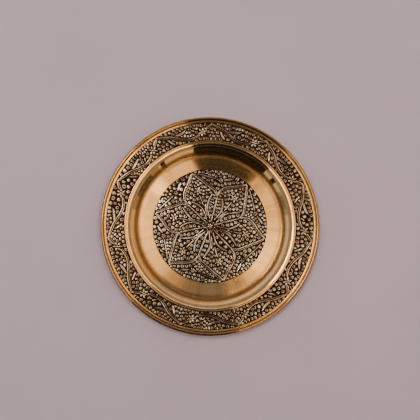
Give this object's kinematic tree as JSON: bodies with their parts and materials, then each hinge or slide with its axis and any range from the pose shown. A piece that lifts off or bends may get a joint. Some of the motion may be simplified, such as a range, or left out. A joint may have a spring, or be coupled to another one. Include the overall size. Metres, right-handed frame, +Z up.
{
  "type": "round tray",
  "caption": "Round metal tray: a flat well inside an ogee wall, a wide flange with a wire-curled edge, and chased leaf ornament on black grounds in the well and round the flange.",
  "frame": {"origin": "on the tray's axis, at the level of the surface that it lies on", "axes": "+Z up, out of the well, along the tray's axis; +Y towards the edge that is uppermost when the face is looked at; +X to the right of it"},
  "size_m": [0.203, 0.203, 0.01],
  "materials": {
    "brass": "spun and polished, aged warm gold",
    "wire": "drawn wire, hidden in the curled edge",
    "medallion_fill": "matt black lac",
    "band_fill": "matt black lac"
  },
  "bodies": {
    "root": {"tray_body": "brass", "rim_wire": "wire", "medallion_infill": "medallion_fill", "rim_band_infill": "band_fill"}
  },
  "joints": []
}
